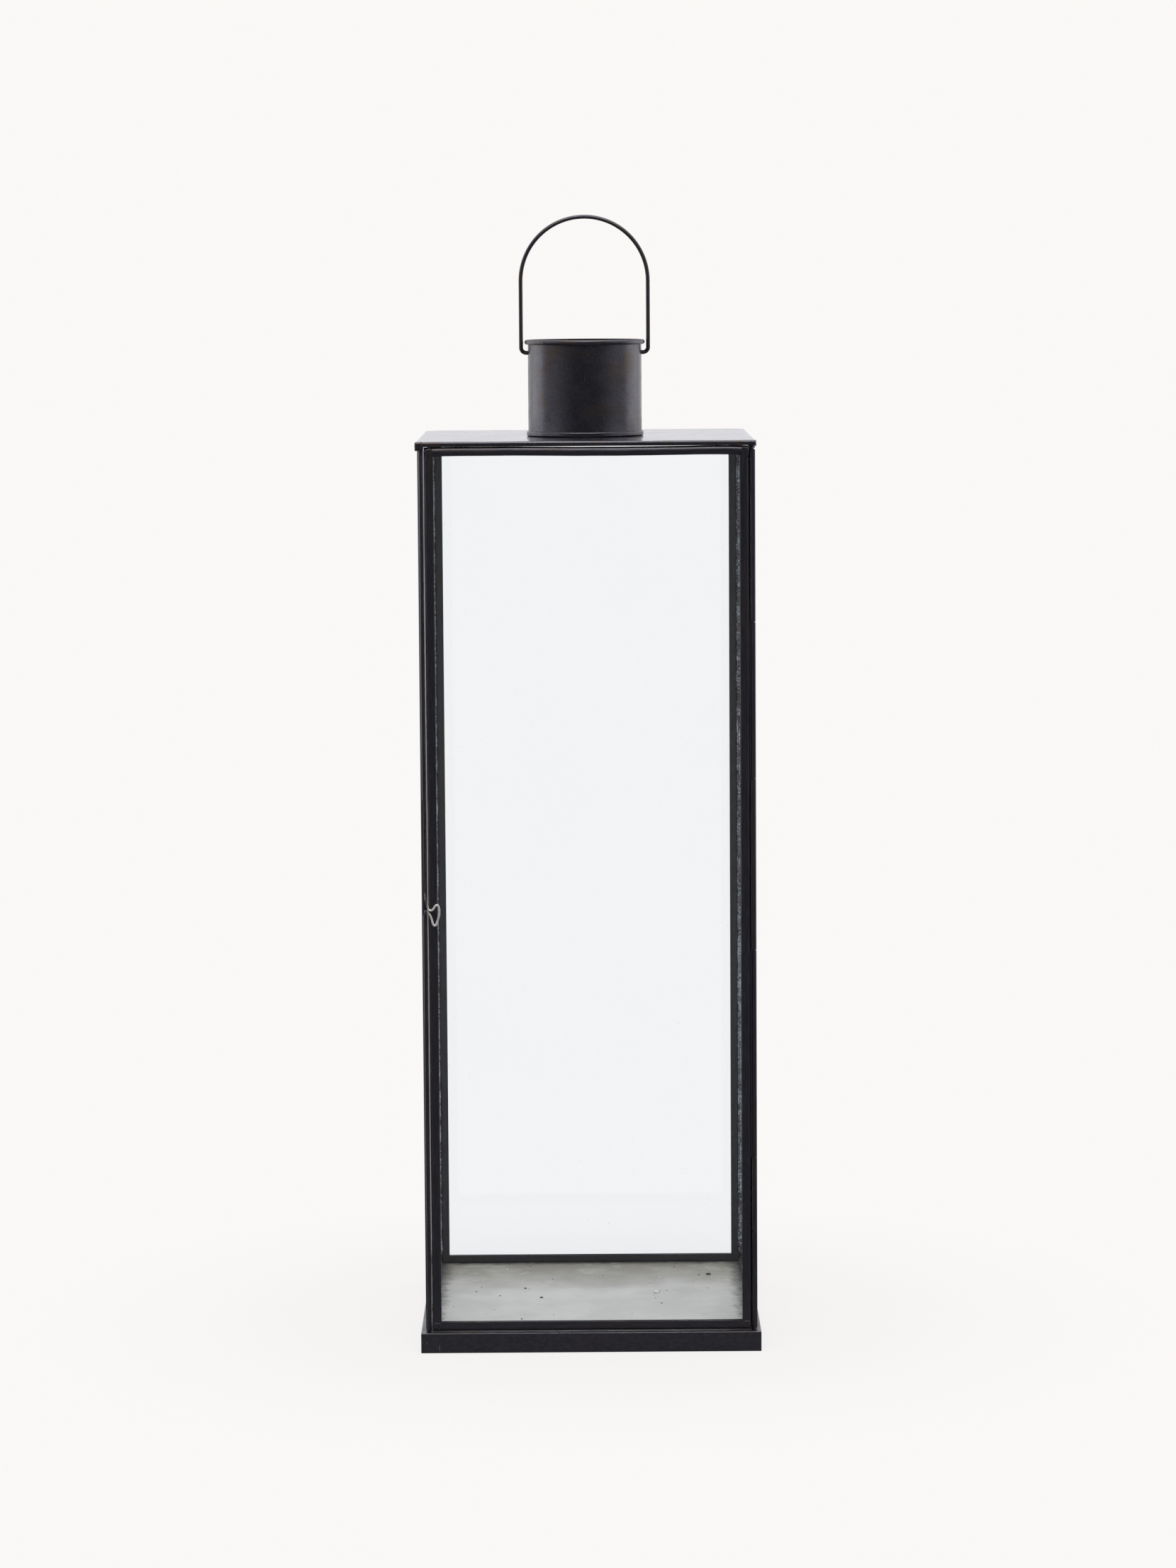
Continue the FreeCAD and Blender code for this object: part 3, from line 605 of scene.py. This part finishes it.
def studio_floor():
    """Pale paper. Near the object it takes the shadow, and further out the eye sees one even colour.

    Mirrored in metal or glass, it is dark on the photographer's side and pale behind the object.
    """
    g = Graph("studio_floor")
    paper = g.add("ShaderNodeBsdfDiffuse", {"Color": (0.9, 0.89, 0.88)}).outputs[0]
    reach = g.add("ShaderNodeVectorMath", {0: g.place}, operation="LENGTH").outputs["Value"]
    path = g.add("ShaderNodeLightPath").outputs
    mirrored = g.math("SUBTRACT", path["Is Glossy Ray"], path["Is Transmission Ray"], True)
    around = g.mix(g.ramp(g.axis("Y"), -0.1, 0.3), FRONT_GLOOM, BACKGROUND)
    glow = g.add("ShaderNodeEmission", {"Color": g.mix(mirrored, BACKGROUND, around)}).outputs[0]
    seen = g.larger(path["Is Camera Ray"], g.larger(path["Is Glossy Ray"], path["Is Transmission Ray"]))
    share = g.times(seen, g.ramp(reach, 0.13, 0.36, 0.84, 1.0))
    shader = g.add("ShaderNodeMixShader", {0: share, 1: paper, 2: glow}).outputs[0]
    bpy.ops.mesh.primitive_plane_add(size=40, location=(0, 0, 0))
    floor = bpy.context.object
    floor.name = "studio_floor"
    floor.data.materials.append(g.surface(shader))


def softbox(name, where, aim, width, height, radiance):
    light = bpy.data.lights.new(name, "AREA")
    light.shape = "RECTANGLE"
    light.size, light.size_y = width, height
    light.energy = radiance * math.pi * width * height
    lamp = bpy.data.objects.new(name, light)
    bpy.context.scene.collection.objects.link(lamp)
    lamp.location = where
    lamp.rotation_euler = (Vector(aim) - Vector(where)).to_track_quat("-Z", "Y").to_euler()


def studio_world():
    """The backdrop's colour all round, for the eye. Reflections find it darker on the photographer's side."""
    g = Graph("studio", bpy.data.worlds.new("studio"))
    bpy.context.scene.world = g.owner
    path = g.add("ShaderNodeLightPath").outputs
    front = g.ramp(g.axis("Y"), -1.0, -0.3, 0.07, 1.0)
    seen = g.add("ShaderNodeBackground", {"Color": BACKGROUND}).outputs[0]
    mirrored = g.add("ShaderNodeBackground", {"Color": (0.93, 0.925, 0.965), "Strength": front}).outputs[0]
    lit = g.add("ShaderNodeBackground", {"Color": (0.97, 0.98, 1.0), "Strength": 0.32}).outputs[0]
    shader = g.add("ShaderNodeMixShader", {0: path["Is Glossy Ray"], 1: lit, 2: mirrored}).outputs[0]
    eye = g.larger(path["Is Camera Ray"], path["Is Transmission Ray"])
    shader = g.add("ShaderNodeMixShader", {0: eye, 1: shader, 2: seen}).outputs[0]
    g.add("ShaderNodeOutputWorld", {"Surface": shader})


def camera():
    """The photographer's lens, square to the front and a little above the roof."""
    yaw, pitch, roll = (math.radians(angle) for angle in (CAMERA_YAW, CAMERA_PITCH, CAMERA_ROLL))
    ahead = Vector((math.sin(yaw) * math.cos(pitch), math.cos(yaw) * math.cos(pitch), -math.sin(pitch)))
    right = Vector((math.cos(yaw), -math.sin(yaw), 0))
    up = right.cross(ahead)
    across = right * math.cos(roll) + up * math.sin(roll)
    above = up * math.cos(roll) - right * math.sin(roll)
    data = bpy.data.cameras.new("camera")
    data.sensor_fit = "VERTICAL"
    data.sensor_height = 36
    data.lens = 107.53
    data.clip_end = 100
    lens = bpy.data.objects.new("camera", data)
    bpy.context.scene.collection.objects.link(lens)
    turn = Matrix((across, above, -ahead)).transposed().to_4x4()
    lens.matrix_world = Matrix.Translation(CAMERA_PLACE) @ turn
    scene = bpy.context.scene
    scene.camera = lens
    scene.render.resolution_x = 1659
    scene.render.resolution_y = 2212


studio_floor()
studio_world()
softbox("left_box", (-2.3, 1.0, 0.8), (0, 0, 0.35), 1.6, 2.0, 0.9)
softbox("right_box", (2.3, 1.0, 0.8), (0, 0, 0.35), 1.6, 2.0, 0.7)
softbox("key_box", (0, -1.6, 2.5), (0, 0, 0.45), 2.6, 1.7, 2.8)
softbox("top_box", (0, 0.5, 2.9), (0, 0, 0.3), 2.2, 1.6, 1.6)
camera()
bpy.context.scene.view_settings.view_transform = "Standard"
